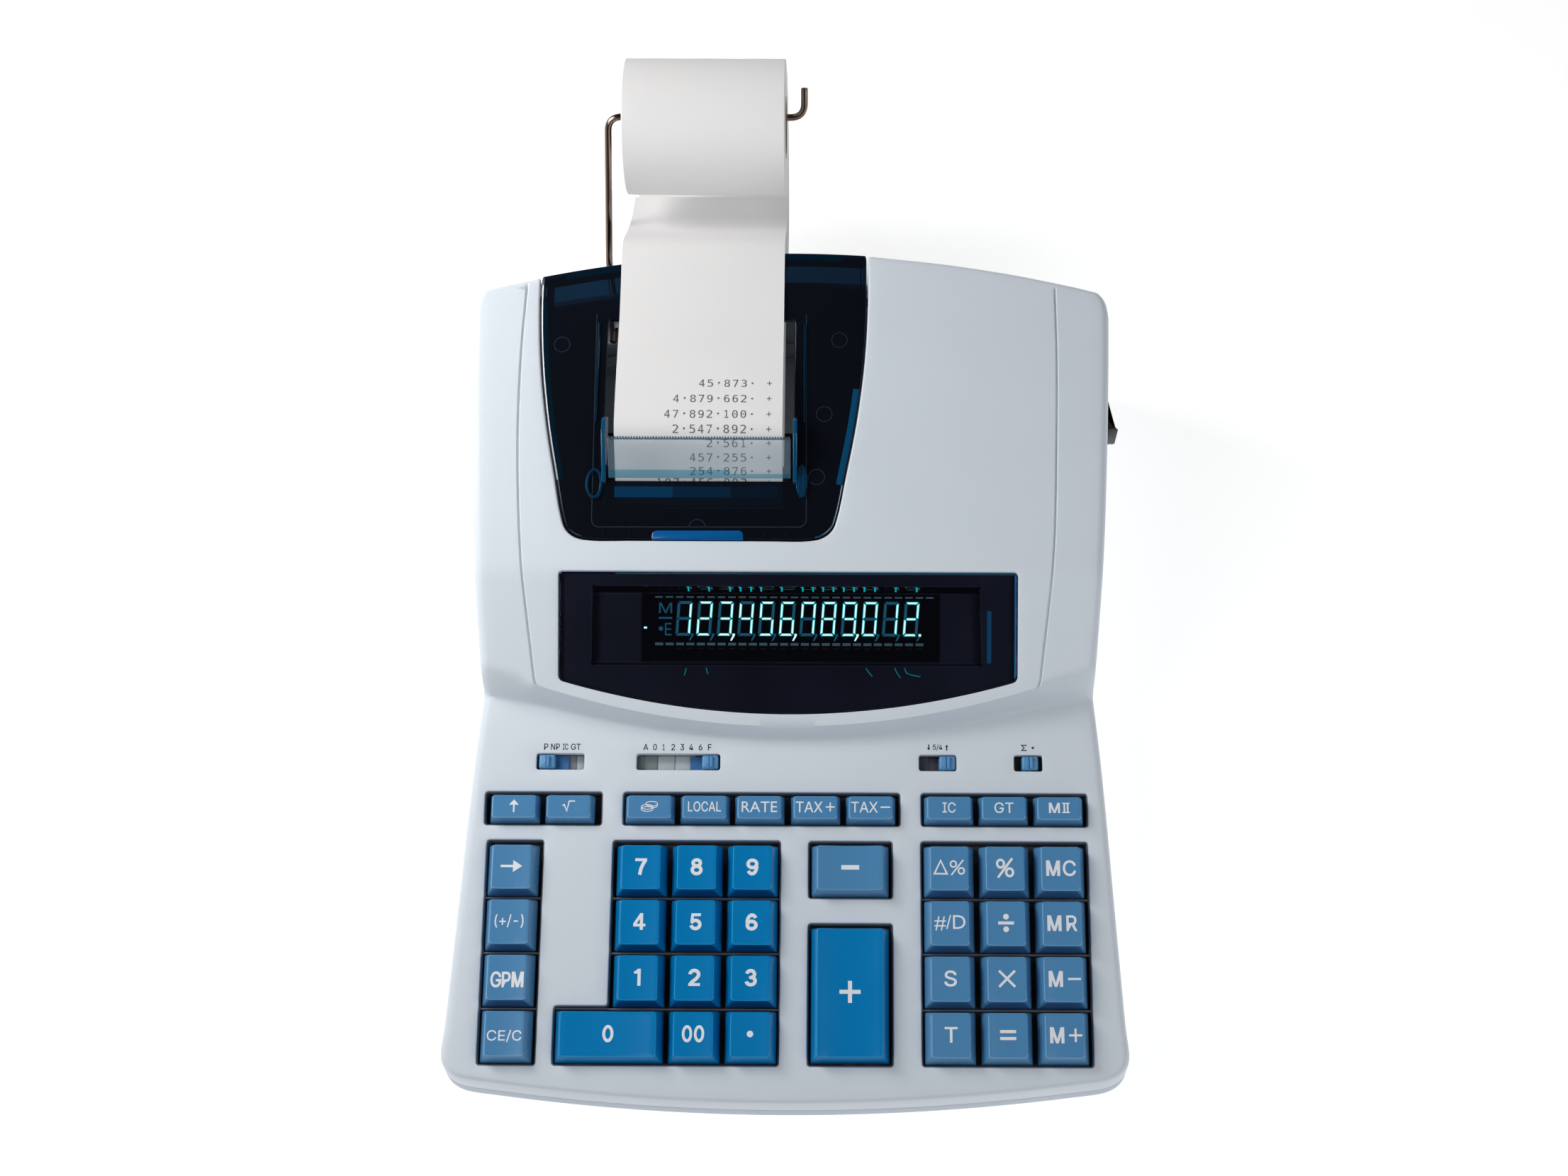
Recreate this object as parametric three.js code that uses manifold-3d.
// Desktop printing calculator with a paper roll on a wire arm.
// Millimetres, +X to the user's right, +Y towards the back, +Z up.
// The machine is laid out from the middle of its front edge at table level and the
// whole group is shifted at the end, so that the origin is the middle of the footprint.
import * as THREE from 'three';
import { mergeVertices } from 'three/addons/utils/BufferGeometryUtils.js';
import Module from 'manifold-3d';

const wasm = await Module();
wasm.setup();

// ---------------------------------------------------------------- driving dimensions
const WALL = 2.5;                 // moulded shell thickness
const SEAM_Z = 9.0;               // top of the bottom case
const GAP = 0.3;                  // seam between the two cases
const DECK_Y = 4, DECK_Z = 19, DECK_SLOPE = 0.1317;      // keyboard deck, 7.5 degrees
const LENS_Y = 126.5, LENS_Z = 42, LENS_SLOPE = 0.463;   // display panel, 25 degrees
const TOP_Y = 169.7, TOP_Z = 62, TOP_SLOPE = 0.1383;     // upper deck, 8 degrees
const SIDE_DRAFT = 0.035, FRONT_LEAN = 0.075;            // wall lean per mm of height
const REAR_Y = 287.9, REAR_ARC = 0.00122;                // rear edge: y = REAR_Y - REAR_ARC x^2

const KEY = 16.8;                 // square keycap at its skirt
const KEY_TRAVEL = 3.0;           // travel of a key
const KEY_TOP = 4.4;              // top of a normal key over the deck
const ROWS = [18.1, 36.2, 54.3, 72.4];                   // rows, along the deck
const ROW_A = 93.0;               // the short function row
const COL_LEFT = -90.3;
const COLS_NUM = [-48.0, -29.6, -11.2];
const COL_OP = 21.1;
const COLS_RIGHT = [53.8, 72.2, 90.5];
const COLS_A1 = [-90.4, -71.9], COLS_A2 = [-45.5, -27.1, -8.9, 9.5, 27.9], COLS_A3 = [54.0, 72.3, 90.7];

const COVER_X = -30.3;            // middle line of the printer cover
const TAPE_X = -30.8, TAPE_W = 57;
const ROLL_R = 24, ROLL_BORE = 9.5, ROLL_Y = 334.5, ROLL_Z = 83;
const ROD_Z = 91, WIRE_R = 1.25, ARM_LEFT = -64.6, ARM_RIGHT = 4.3;
const HINGE_Y = 269, HINGE_Z = 71.5;                     // printer cover's pivot
const PLATEN_Y = 205, PLATEN_Z = 55, PLATEN_R = 7;
const INK_Y = 186.2, INK_Z = 53.6;
const ROCKER_X = 109.0, ROCKER_Y = 239.5, ROCKER_Z = 44, ROCKER_TILT = 11;

const deckAngle = Math.atan(DECK_SLOPE), lensAngle = Math.atan(LENS_SLOPE);
const K = (y) => DECK_Z + (y - DECK_Y) * DECK_SLOPE;
const L = (y) => LENS_Z + (y - LENS_Y) * LENS_SLOPE;
const U = (y) => TOP_Z + (y - TOP_Y) * TOP_SLOPE;

// ---------------------------------------------------------------- materials
const mat = (color, roughness = 0.5, metalness = 0, opacity = 1) =>
  new THREE.MeshStandardMaterial({ color, roughness, metalness, opacity, transparent: opacity < 1 });
const M = {
  shell: mat(0xc9d3de, 0.55), base: mat(0xb4becb, 0.6),
  smoke: mat(0x0b1830, 0.12, 0, 0.85), lens: mat(0x0a0a14, 0.08, 0, 0.9), clear: mat(0xa9cbe0, 0.15, 0, 0.5),
  keyGrey: mat(0x4a7eb0, 0.4), keyBlue: mat(0x0071b0, 0.38), knob: mat(0x3d6fa6, 0.4), black: mat(0x101114, 0.45),
  board: mat(0x2f5a3a, 0.6), steel: mat(0xa6abb0, 0.35, 0.9), chrome: mat(0xd6d8da, 0.12, 1), paper: mat(0xe6e3e0, 0.9),
  rubber: mat(0x1c1c1e, 0.85), glass: mat(0x06080c, 0.1), carriage: mat(0x2a2c31, 0.5), ink: mat(0x2b1d4a, 0.8),
  copper: mat(0x8a5a3a, 0.5, 0.3),
};

// ---------------------------------------------------------------- geometry helpers
// Triangles of an anticlockwise outline by ear cutting; points on a straight run are kept.
function triangles(pts) {
  const left = pts.map((_, i) => i), out = [];
  const cross = (a, b, c) => (b[0] - a[0]) * (c[1] - a[1]) - (b[1] - a[1]) * (c[0] - a[0]);
  while (left.length > 3) {
    let best = -1, score = -1;
    for (let i = 0; i < left.length; i++) {
      const ia = left[(i + left.length - 1) % left.length], ib = left[i], ic = left[(i + 1) % left.length];
      const a = pts[ia], b = pts[ib], c = pts[ic], area = cross(a, b, c);
      if (area <= 1e-7) continue;
      if (left.some((k) => k !== ia && k !== ib && k !== ic && cross(a, b, pts[k]) > -1e-7 && cross(b, c, pts[k]) > -1e-7 && cross(c, a, pts[k]) > -1e-7)) continue;
      const quality = area / ((a[0] - c[0]) ** 2 + (a[1] - c[1]) ** 2);
      if (quality > score) { score = quality; best = i; }
    }
    if (best < 0) throw new Error('outline cannot be cut into triangles');
    const n = left.length;
    out.push([left[(best + n - 1) % n], left[best], left[(best + 1) % n]]);
    left.splice(best, 1);
  }
  out.push(left);
  return out;
}
// A closed body lofted through outlines with the same number of points.
function loft(levels) {
  const area = (p) => p.reduce((s, a, i) => s + a[0] * p[(i + 1) % p.length][1] - a[1] * p[(i + 1) % p.length][0], 0);
  if (area(levels[0].pts) < 0) levels = levels.map((l) => ({ z: l.z, pts: [...l.pts].reverse() }));
  const n = levels[0].pts.length, pos = [], index = [];
  for (const l of levels) for (const p of l.pts) pos.push(p[0], p[1], l.z);
  for (let k = 0; k < levels.length - 1; k++) {
    for (let i = 0; i < n; i++) {
      const j = (i + 1) % n, a = k * n + i, b = k * n + j, c = a + n, d = b + n;
      index.push(a, b, d, a, d, c);
    }
  }
  for (const [a, b, c] of triangles(levels[0].pts)) index.push(a, c, b);
  const last = (levels.length - 1) * n;
  for (const [a, b, c] of triangles(levels[levels.length - 1].pts)) index.push(last + a, last + b, last + c);
  const g = new THREE.BufferGeometry();
  g.setAttribute('position', new THREE.Float32BufferAttribute(pos, 3));
  g.setIndex(index);
  g.computeVertexNormals();
  return g;
}
const prism = (pts, z0, z1) => loft([{ z: z0, pts }, { z: z1, pts }]);
// An outline in (y, z) drawn out along X, and one in (x, z) drawn out along Y.
const alongX = (pts, x0, x1) => prism(pts, x0, x1).applyMatrix4(new THREE.Matrix4().set(0, 0, 1, 0, 1, 0, 0, 0, 0, 1, 0, 0, 0, 0, 0, 1));
const alongY = (pts, y0, y1) => prism(pts.map(([x, z]) => [z, x]), y0, y1).applyMatrix4(new THREE.Matrix4().set(0, 1, 0, 0, 0, 0, 1, 0, 1, 0, 0, 0, 0, 0, 0, 1));
const box = (x0, x1, y0, y1, z0, z1) => new THREE.BoxGeometry(x1 - x0, y1 - y0, z1 - z0).translate((x0 + x1) / 2, (y0 + y1) / 2, (z0 + z1) / 2);
const rodX = (y, z, r, x0, x1, n = 20) => new THREE.CylinderGeometry(r, r, x1 - x0, n).rotateZ(Math.PI / 2).translate((x0 + x1) / 2, y, z);
const rodY = (x, z, r, y0, y1, n = 16) => new THREE.CylinderGeometry(r, r, y1 - y0, n).translate(x, (y0 + y1) / 2, z);
const rodZ = (x, y, r, z0, z1, n = 24) => new THREE.CylinderGeometry(r, r, z1 - z0, n).rotateX(Math.PI / 2).translate(x, y, (z0 + z1) / 2);

// Solids for joining and cutting, and back to a geometry.
function solid(geometry) {
  const g = geometry.clone();
  g.deleteAttribute('normal');
  g.deleteAttribute('uv');
  const m = mergeVertices(g, 1e-4);
  return new wasm.Manifold(new wasm.Mesh({
    numProp: 3, vertProperties: new Float32Array(m.attributes.position.array), triVerts: new Uint32Array(m.index.array),
  }));
}
function geometryOf(manifold) {
  const m = manifold.getMesh();
  const g = new THREE.BufferGeometry();
  g.setAttribute('position', new THREE.BufferAttribute(new Float32Array(m.vertProperties), 3));
  g.setIndex(new THREE.BufferAttribute(new Uint32Array(m.triVerts), 1));
  g.computeVertexNormals();
  return g;
}
const join = (...parts) => parts.map((p) => (p.isBufferGeometry ? solid(p) : p)).reduce((a, b) => a.add(b));
const cut = (from, ...parts) => parts.map((p) => (p.isBufferGeometry ? solid(p) : p)).reduce((a, b) => a.subtract(b), from.isBufferGeometry ? solid(from) : from);
const meet = (a, b) => (a.isBufferGeometry ? solid(a) : a).intersect(b.isBufferGeometry ? solid(b) : b);

// Corner normals of an outline that runs anticlockwise, with the mitre length.
function normals(pts) {
  return pts.map((p, i) => {
    const a = pts[(i + pts.length - 1) % pts.length], b = pts[(i + 1) % pts.length];
    const e = new THREE.Vector2(p[0] - a[0], p[1] - a[1]).normalize(), f = new THREE.Vector2(b[0] - p[0], b[1] - p[1]).normalize();
    const n = new THREE.Vector2(e.y + f.y, -e.x - f.x).normalize();
    const mitre = 1 / Math.max(0.5, n.dot(new THREE.Vector2(e.y, -e.x)));
    return [n.x, n.y, mitre];
  });
}
const grow = (pts, d) => { const n = normals(pts); return pts.map((p, i) => [p[0] + n[i][0] * n[i][2] * d, p[1] + n[i][1] * n[i][2] * d]); };

const root = new THREE.Group();
const deck = new THREE.Group();            // keyboard deck: x across, y up the slope, z its normal
deck.position.set(0, DECK_Y, DECK_Z);
deck.rotation.x = deckAngle;
const panel = new THREE.Group();           // display panel: origin on its upper crease
panel.position.set(0, TOP_Y, TOP_Z);
panel.rotation.x = lensAngle;
root.add(deck, panel);
deck.updateMatrix();
panel.updateMatrix();
const onDeck = (g) => g.applyMatrix4(deck.matrix);
function add(name, geometry, material, parent = root) {
  const mesh = new THREE.Mesh(geometry.isBufferGeometry ? geometry : geometryOf(geometry), material);
  mesh.name = name;
  parent.add(mesh);
  return mesh;
}

// ---------------------------------------------------------------- plan outline of the cases
// Right half from the front middle to the rear middle, at table level.
const half = [];
for (let i = 0; i <= 6; i++) { const x = (103.5 * i) / 6; half.push([x, 0.1 + 7.5 * (x / 105) ** 2]); }
half.push([107, 8.4], [110.2, 10.4], [112.2, 13.4], [112.7, 17.5], [111.9, 26], [110.6, 48], [109.3, 71], [108.0, 95], [106.6, 116], [105.0, 134],
  [105.3, 139], [106.8, 155], [109.0, 180], [111.4, 218], [113.1, 258], [113.0, 264.5], [111.7, 269.5], [108.6, 273.2]);
for (let i = 6; i >= 0; i--) { const x = (104 * i) / 6; half.push([x, REAR_Y - REAR_ARC * x * x]); }
const outline = [...half, ...half.slice(1, -1).reverse().map(([x, y]) => [-x, y])];
// The outline at a height: sides and rear lean in a little, the front face leans back.
function outlineAt(z, inset = 0) {
  const n = normals(outline);
  return outline.map(([x, y], i) => {
    const [nx, ny, m] = n[i];
    const lean = ny < 0 ? SIDE_DRAFT + (FRONT_LEAN - SIDE_DRAFT) * Math.min(1, -ny * 1.4) : SIDE_DRAFT;
    const back = SIDE_DRAFT * z + (lean - SIDE_DRAFT) * Math.min(z, 24);
    return [x - nx * m * (SIDE_DRAFT * z + inset), y - ny * m * (back + inset)];
  });
}
const shell = (inset, z0, z1) => loft([z0, ...(z1 > 30 ? [24] : []), z1].map((z) => ({ z, pts: outlineAt(z, inset) })));

// Everything under the top surfaces, lowered and set back by "off" for the inside.
const wallFoot = (x) => (Math.abs(x) < 86 ? 120.4 + (x * x) / 490 : 135.5 + (Math.abs(x) - 86) * 0.04);
const WALL_RISE = 2.4;
function raised(off) {
  const xs = [];
  for (let i = 0; i <= 20; i++) xs.push(-130 + (260 * i) / 20);
  const at = (z) => [...xs.map((x) => [x, wallFoot(x) + (z - 34) / WALL_RISE + off * 1.08]), [130, 330], [-130, 330]];
  const front = loft([{ z: 10, pts: at(10) }, { z: 95, pts: at(95) }]);
  const yc = TOP_Y + (off * 0.094) / (LENS_SLOPE - TOP_SLOPE);
  const side = [[90, -20], [330, -20], [330, U(330) - off], [yc, U(yc) - off], [90, U(yc) - off - (yc - 90) * LENS_SLOPE]];
  return meet(front, alongX(side, -130, 130));
}
const bulk = (off) => join(raised(off), alongX([[-30, -20], [175, -20], [175, K(175) - off], [-30, K(-30) - off]], -130, 130));

// ---------------------------------------------------------------- printer cover outline
const coverHalf = [[181.0, 0], [181.0, 38.2], [182.2, 42.3], [185.2, 45.0], [190.9, 46.6], [203.3, 49.1], [222, 52.6], [244, 55.4], [264.9, 56.6]];
const rearEdge = (x) => REAR_Y - REAR_ARC * x * x - 2.7;
const coverOutline = [];
for (const [y, w] of coverHalf.slice(1)) coverOutline.push([COVER_X + w, y]);
for (let i = 0; i <= 8; i++) { const x = COVER_X + 56.5 - (113 * i) / 8; coverOutline.push([x, rearEdge(x)]); }
for (const [y, w] of coverHalf.slice(1).reverse()) coverOutline.push([COVER_X - w, y]);
const bayOutline = grow(coverOutline, 0.5).map(([x, y]) => (y > 274 ? [x, 300] : [x, y]));

// ---------------------------------------------------------------- bottom case
{
  const outer = shell(0, 2, SEAM_Z);
  const inner = shell(WALL, 4.2, SEAM_Z + 5);
  const feet = [];
  for (const [x, y] of [[-90, 32], [90, 32], [-90, 252], [90, 252]]) feet.push(rodZ(x, y, 9, 0, 3));
  const posts = [];
  for (const x of [-66.2, 5.2]) for (const y of [180, 228]) posts.push(box(x - 3, x + 3, y - 4, y + 4, 3.5, 33.7));
  const ribs = [];
  for (const x of [-58, 58]) ribs.push(alongX([[20, 3.5], [100, 3.5], [100, 20.0], [20, 9.4]], x - 1.2, x + 1.2));
  for (const x of [-95, 95]) ribs.push(rodZ(x, 150, 4, 3.5, 22));
  add('bottom_case', join(cut(outer, inner), ...feet, ...posts, ...ribs), M.base);
}

// ---------------------------------------------------------------- top case
const wells = [
  [-101.3, -61.8, 87.5, 99.0], [-55.0, 37.9, 87.5, 99.0], [44.7, 100.6, 87.5, 99.0],
  [-100.0, -80.8, 8.9, 82.7], [-58.0, -1.9, 8.9, 82.7], [-75.6, -50, 8.9, 28.2],
  [7.2, 35.3, 63.3, 82.6], [7.2, 35.3, 8.9, 55.3], [44.5, 100.3, 8.9, 82.7],
];
const slots = [[-84.6, -68.5], [-50.9, -22.7], [44.2, 56.8], [76.2, 85.8]];
const SLOT_V = [106.5, 112.0];
const lensOutline = [];
for (let i = 0; i <= 12; i++) { const x = -76.8 + (153.6 * i) / 12; lensOutline.push([x, 126.7 + 10.1 * (x / 76.8) ** 2]); }
lensOutline.push([76.8, 169.5], [-76.8, 169.5]);
{
  const outer = meet(shell(0, -5, 95), bulk(0));
  const inner = meet(shell(WALL, -5, 95), bulk(WALL));
  let top = cut(outer, inner, box(-130, 130, -20, 320, -20, SEAM_Z + GAP));
  // Lugs for the cover's pins, the power inlet's pocket and the socket of the wire arm.
  const lug = (x0, x1) => box(x0, x1, 263.5, 274.5, 62, 74.4);
  top = join(top, lug(-91.5, -87.6), lug(27.0, 30.9), box(58.5, 81.5, 264, 280, 19.5, 36.5), box(-69.5, -59.7, 266, 280.6, 40, 50));
  top = cut(top,
    ...wells.map(([x0, x1, v0, v1]) => onDeck(box(x0, x1, v0, v1, -8, 8))),
    ...slots.map(([x0, x1]) => onDeck(box(x0, x1, ...SLOT_V, -8, 8))),
    prism(grow(lensOutline, 0.35), 36, 80),
    prism(bayOutline, 58, 90),
    rodX(HINGE_Y, HINGE_Z, 2.15, -89.8, 29.2, 20),
    box(60.5, 79.5, 266, 290, 21.5, 34.5),
    rodY(ARM_LEFT, 45, 1.6, 267.5, 290),
    box(100, 120, ROCKER_Y - 10.7, ROCKER_Y + 10.7, ROCKER_Z - 6.5, ROCKER_Z + 6.5));
  top = join(top, rodY(65.5, 28, 1.2, 265, 277, 12), rodY(74.5, 28, 1.2, 265, 277, 12));
  add('top_case', top, M.shell);
}

// ---------------------------------------------------------------- display
{
  const slab = alongX([[110, L(110) - 2.2], [TOP_Y, L(TOP_Y) - 2.2], [TOP_Y, L(TOP_Y)], [110, L(110)]], -100, 100);
  add('display_lens', meet(prism(lensOutline, 30, 80), slab), M.lens);
  add('display_module', join(box(-47.1, 50.7, -30.3, -7.8, -13.6, -7.2), box(-66, 66, -34, -4, -15, -13.4)), M.glass, panel);
}

// ---------------------------------------------------------------- main board with the slide switches' housings
add('main_board', join(box(-99, 99, 8.5, 115, -11.2, -9.4), ...slots.map(([x0, x1]) => box(x0 - 1.5, x1 + 1.5, 104.5, 114, -9.8, -3.7))), M.board, deck);

// ---------------------------------------------------------------- keys
// A cap on a short stem, in outlines with cut corners; the skirt spreads below the dished top.
function keycap(w, d, top, travelStem = 5.8) {
  const ring = (x, y, c) => [[-x + c, -y], [x - c, -y], [x, -y + c], [x, y - c], [x - c, y], [-x + c, y], [-x, y - c], [-x, -y + c]];
  const sx = w > 20 ? w / 2 - 5 : 3, sy = d > 20 ? d / 2 - 5 : Math.min(3, d / 2 - 2);
  return loft([
    { z: -travelStem, pts: ring(sx, sy, 0.5) }, { z: -2.4, pts: ring(sx, sy, 0.5) },
    { z: -2.4, pts: ring(w / 2, d / 2, 0.7) }, { z: 0.4, pts: ring(w / 2 - 0.15, d / 2 - 0.15, 0.8) },
    { z: top - 0.5, pts: ring(w / 2 - 1.9, d / 2 - 1.5, 1.2) }, { z: top, pts: ring(w / 2 - 2.5, d / 2 - 2.1, 1.2) },
  ]);
}
const square = [KEY, KEY, KEY_TOP], low = [16.6, 9.4, 3.2];
function key(name, x, v, [w, d, top], material) {
  add(name, keycap(w, d, top), material, deck).position.set(x, v, 0);
}
['key_up', 'key_root'].forEach((n, i) => key(n, COLS_A1[i], ROW_A, low, M.keyGrey));
['key_currency', 'key_local', 'key_rate', 'key_tax_plus', 'key_tax_minus'].forEach((n, i) => key(n, COLS_A2[i], ROW_A, low, M.keyGrey));
['key_ic', 'key_gt', 'key_m2'].forEach((n, i) => key(n, COLS_A3[i], ROW_A, low, M.keyGrey));
['key_clear', 'key_gpm', 'key_sign', 'key_shift'].forEach((n, i) => key(n, COL_LEFT, ROWS[i], square, M.keyGrey));
[['key_1', 'key_2', 'key_3'], ['key_4', 'key_5', 'key_6'], ['key_7', 'key_8', 'key_9']].forEach((row, r) =>
  row.forEach((n, i) => key(n, COLS_NUM[i], ROWS[r + 1], square, M.keyBlue)));
key('key_0', -57.2, ROWS[0], [35.2, KEY, KEY_TOP], M.keyBlue);
key('key_00', COLS_NUM[1], ROWS[0], square, M.keyBlue);
key('key_point', COLS_NUM[2], ROWS[0], square, M.keyBlue);
key('key_minus', COL_OP, 72.5, [25.6, 17.0, KEY_TOP], M.keyGrey);
key('key_plus', COL_OP, 31.8, [25.6, 43.6, KEY_TOP + 0.4], M.keyBlue);
[['key_t', 'key_equals', 'key_m_plus'], ['key_s', 'key_multiply', 'key_m_minus'], ['key_number_date', 'key_divide', 'key_mr'],
  ['key_delta', 'key_percent', 'key_mc']].forEach((row, r) => row.forEach((n, i) => key(n, COLS_RIGHT[i], ROWS[r], [16.6, KEY, KEY_TOP], M.keyGrey)));

// ---------------------------------------------------------------- slide-switch knobs
const knobs = [['knob_print_mode', -81.0], ['knob_decimals', -26.1], ['knob_rounding', 53.75], ['knob_sigma', 81.6]];
for (const [name, x] of knobs) {
  add(name, alongY([[-2.8, -3.3], [2.8, -3.3], [2.8, 0.2], [0.9, 0.2], [0.7, 1.2], [-0.7, 1.2], [-0.9, 0.2], [-2.8, 0.2]], -2.4, 2.4), M.knob, deck)
    .position.set(x, (SLOT_V[0] + SLOT_V[1]) / 2, 0);
}

// ---------------------------------------------------------------- power rocker, shown pressed at its rear half
{
  const g = prism([[-7, -5], [-1, -9.2], [4.6, -9.6], [1.4, 0], [4.6, 9.6], [-1, 9.2], [-7, 5]], -6, 6);
  const rocker = add('power_rocker', g, M.black);
  rocker.position.set(ROCKER_X, ROCKER_Y, ROCKER_Z);
  rocker.rotation.z = THREE.MathUtils.degToRad(ROCKER_TILT);
}

// ---------------------------------------------------------------- printer cover
const skin = (a, b) => alongX([[170, U(170) - a], [300, U(300) - a], [300, U(300) - b], [170, U(170) - b]], -120, 60);
{
  const plate = meet(prism(coverOutline, 50, 90), skin(2, 0));
  const inner = grow(coverOutline, -1.2), inner2 = grow(coverOutline, -3.0);
  const rim = cut(meet(prism(inner, 50, 90), skin(5.2, 1.5)), prism(inner2, 50, 90), box(-120, 60, 150, 190, 40, 90), box(-120, 60, 258, 320, 40, 90));
  const lip = meet(cut(prism(coverOutline, 50, 90), prism(coverOutline.map(([x, y]) => [x, y > 270 ? y - 2 : y]), 50, 90)), skin(7.5, 1));
  const opening = box(-63.4, 1.5, 201.5, 260, 50, 90);
  const cheek = (x0, x1) => alongX([[199.5, 64.4], [224, 67.6], [220.5, 76.2], [214.5, 77.4], [201.0, 67.6]], x0, x1);
  const ear = (x0, x1) => alongX([[262, 73.5], [276, 75.5], [274, 69.6], [271, 68.6], [267, 68.6], [264, 69.6]], x0, x1);
  let cover = cut(join(plate, rim), opening);
  cover = join(cover, lip, cheek(-65.2, -61.7), cheek(1.0, 3.4), ear(-85.4, -83.0), ear(22.6, 25.0),
    rodX(HINGE_Y, HINGE_Z, 1.8, -89.2, -84, 20), rodX(HINGE_Y, HINGE_Z, 1.8, 24, 28.6, 20));
  add('printer_cover', cover, M.smoke);
  const edge = [[201.9, 67.0], [213.2, 76.0], [213.2, 76.5], [212.6, 76.8], [201.9, 68.2]];
  add('tear_bar', alongX(edge, -61.2, 0.5), M.clear);
}

// ---------------------------------------------------------------- printer mechanism
{
  const side = (x0, x1) => alongX([[178, 35], [234, 35], [234, 42], [214, 59], [180, 59], [178, 57]], x0, x1);
  const frame = join(box(-70, 9, 176, 236, 34, 36), side(-70, -68.2), side(7.2, 9), rodX(187, 42, 1.5, -69, 8, 16));
  add('printer_frame', cut(frame, rodX(PLATEN_Y, PLATEN_Z, 2.3, -75, 12, 20)), M.steel);

  const p = [[0, -69.6], [2, -69.6], [2, -61], [PLATEN_R, -61], [PLATEN_R, -0.2], [2, -0.2], [2, 8.6], [0, 8.6]];
  add('platen_roller', new THREE.LatheGeometry(p.map(([r, a]) => new THREE.Vector2(r, a)), 24).rotateZ(-Math.PI / 2), M.rubber)
    .position.set(0, PLATEN_Y, PLATEN_Z);

  const block = alongX([[180.8, 38], [193.5, 38], [193.5, 51], [196.2, 53], [196.2, 60], [180.8, 60]], -59, -43);
  add('print_carriage', cut(block, box(-57, -45, 170, 191.4, 48.2, 70), rodX(187, 42, 1.9, -65, -38, 16), rodX(INK_Y, INK_Z, 1.35, -65, -38, 16)), M.carriage);
  const q = [[0, -7.6], [1, -7.6], [1, -5.4], [4.8, -5.4], [4.8, 5.4], [1, 5.4], [1, 7.6], [0, 7.6]];
  add('ink_roller', new THREE.LatheGeometry(q.map(([r, a]) => new THREE.Vector2(r, a)), 20).rotateZ(-Math.PI / 2), M.ink).position.set(-51, INK_Y, INK_Z);
}
add('transformer', join(box(50, 96, 212, 243, 4.5, 43), box(56, 90, 206, 249, 10, 38)), M.steel);

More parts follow.
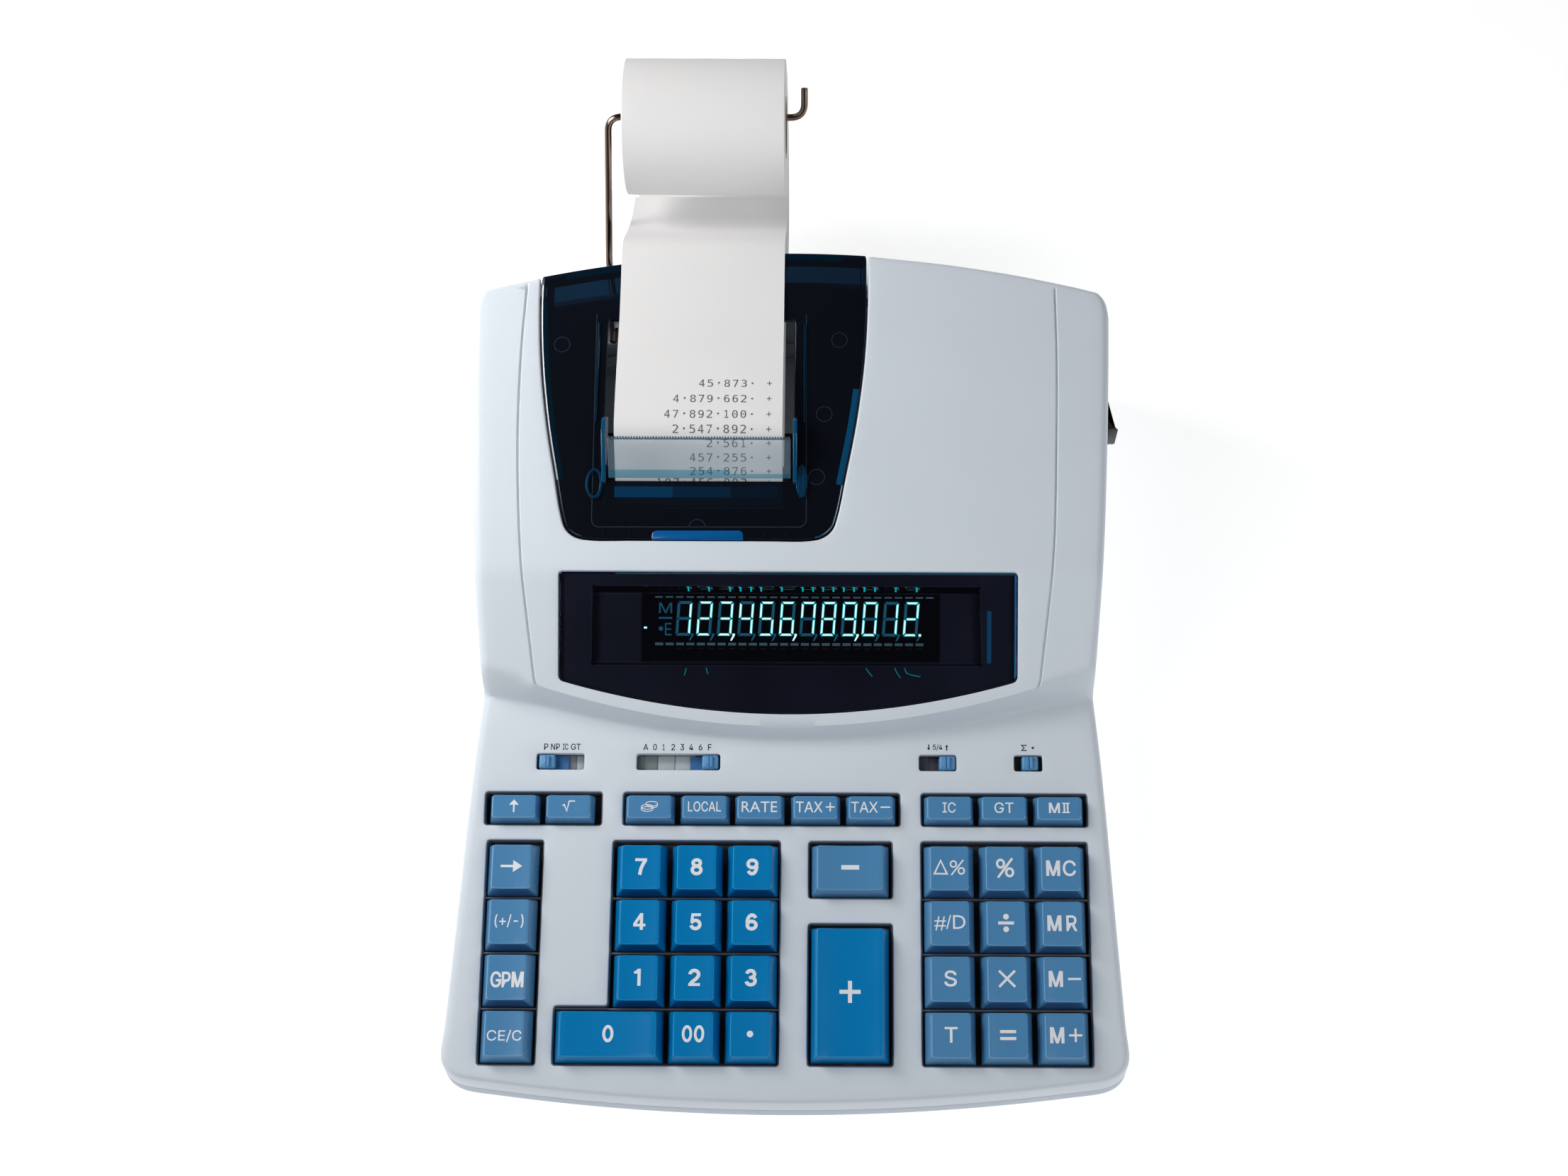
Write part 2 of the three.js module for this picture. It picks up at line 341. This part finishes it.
// ---------------------------------------------------------------- wire arm and roll
{
  const bends = (points, r) => {
    const path = new THREE.CurvePath();
    let from = points[0];
    for (let i = 1; i < points.length - 1; i++) {
      const a = points[i].clone().sub(points[i - 1]).setLength(r), b = points[i + 1].clone().sub(points[i]).setLength(r);
      const s = points[i].clone().sub(a), e = points[i].clone().add(b);
      path.add(new THREE.LineCurve3(from, s));
      path.add(new THREE.QuadraticBezierCurve3(s, points[i], e));
      from = e;
    }
    path.add(new THREE.LineCurve3(from, points[points.length - 1]));
    return path;
  };
  const up = new THREE.Vector3(0, 0.67, 0.742);
  const rodEnd = new THREE.Vector3(ARM_RIGHT, ROLL_Y, ROD_Z);
  const route = bends([
    new THREE.Vector3(ARM_LEFT, 268, 45), new THREE.Vector3(ARM_LEFT, 293.5, 45), new THREE.Vector3(ARM_LEFT, ROLL_Y, ROD_Z),
    rodEnd, rodEnd.clone().addScaledVector(up, 10.5),
  ], 5);
  const section = new THREE.Shape();
  for (let i = 0; i < 10; i++) {
    const a = (i / 10) * Math.PI * 2;
    if (i) section.lineTo(WIRE_R * Math.cos(a), WIRE_R * Math.sin(a)); else section.moveTo(WIRE_R, 0);
  }
  add('paper_arm', mergeVertices(new THREE.ExtrudeGeometry(section, { steps: 72, bevelEnabled: false, extrudePath: route })), M.chrome);

  const ring = [[ROLL_BORE, -TAPE_W / 2], [ROLL_R, -TAPE_W / 2], [ROLL_R, TAPE_W / 2], [ROLL_BORE, TAPE_W / 2], [ROLL_BORE, -TAPE_W / 2]];
  add('paper_roll', new THREE.LatheGeometry(ring.map(([r, a]) => new THREE.Vector2(r, a)), 48).rotateZ(-Math.PI / 2), M.paper)
    .position.set(TAPE_X, ROLL_Y, ROLL_Z);
}

// ---------------------------------------------------------------- paper: out past the tear bar and down behind, and the web from the roll
{
  const line = [];
  const smooth = (pts, n) => new THREE.CatmullRomCurve3(pts.map(([y, z]) => new THREE.Vector3(0, y, z)), false, 'centripetal').getPoints(n).forEach((p) => line.push([p.y, p.z]));
  smooth([[ROLL_Y + ROLL_R + 0.35, ROLL_Z], [358.2, 68], [354, 48], [343, 33], [327, 27], [310, 33], [296, 49], [289, 58.6], [284.5, 60.6], [278, 59.4],
    [262, 54.2], [240, 49.2], [218, 47.3], [PLATEN_Y, PLATEN_Z - 7.6]], 44);
  for (let a = 255; a > 140; a -= 15) line.push([PLATEN_Y + 7.6 * Math.cos((a * Math.PI) / 180), PLATEN_Z + 7.6 * Math.sin((a * Math.PI) / 180)]);
  smooth([[199.4, 60.3], [206.5, 67.6], [213.4, 74.3], [218, 76.9], [226, 77.5], [245, 76.9], [259, 75.7]], 16);
  smooth([[260.5, 75.6], [272, 76.9], [283, 78.5], [289, 78.3], [298, 75.2], [310, 67], [321, 56.5], [331, 44.2]], 20);
  const t = 0.17;
  const side = (s) => line.map((p, i) => {
    const a = line[Math.max(0, i - 1)], b = line[Math.min(line.length - 1, i + 1)];
    const dx = b[0] - a[0], dy = b[1] - a[1], l = Math.hypot(dx, dy);
    return [p[0] - (dy / l) * t * s, p[1] + (dx / l) * t * s];
  });
  add('paper_tape', alongX([...side(1), ...side(-1).reverse()], TAPE_X - TAPE_W / 2, TAPE_X + TAPE_W / 2), M.paper);
}

// ---------------------------------------------------------------- origin at the middle of the footprint
root.updateMatrixWorld(true);
const bounds = new THREE.Box3().setFromObject(root, true);
root.position.set(-(bounds.min.x + bounds.max.x) / 2, -(bounds.min.y + bounds.max.y) / 2, -bounds.min.z);
root.updateMatrixWorld(true);

export default root;
